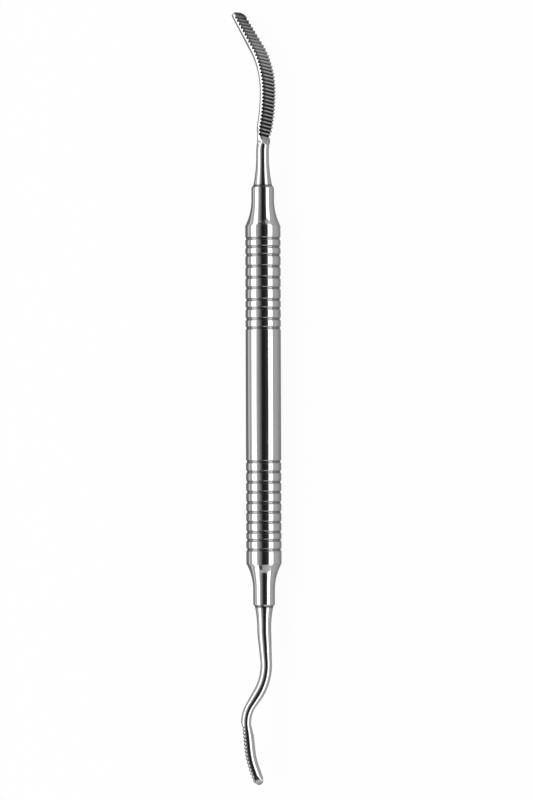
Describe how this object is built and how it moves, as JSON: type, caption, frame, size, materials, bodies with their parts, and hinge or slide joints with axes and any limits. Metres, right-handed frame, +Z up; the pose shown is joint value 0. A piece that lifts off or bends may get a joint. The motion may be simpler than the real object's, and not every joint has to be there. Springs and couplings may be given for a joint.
{
  "type": "double-ended bone file",
  "caption": "Surgical hand file: slim ringed round handle, long curved file with coarse cross teeth at one end, small offset file with fine teeth at the other.",
  "frame": {"origin": "on the handle's axis, in the middle of the plain grip between the two groups of rings", "axes": "+Y along the handle towards the long file, +Z up as the instrument lies on a table, which is at z = -4 mm under the handle"},
  "size_m": [0.0126, 0.1756, 0.008],
  "materials": {
    "handle_steel": "polished stainless steel",
    "file_steel": "polished stainless steel with ground teeth"
  },
  "bodies": {
    "root": {"handle_barrel": "handle_steel", "long_end_cone": "handle_steel", "short_end_cone": "handle_steel", "long_file": "file_steel", "short_file": "file_steel"}
  },
  "joints": []
}
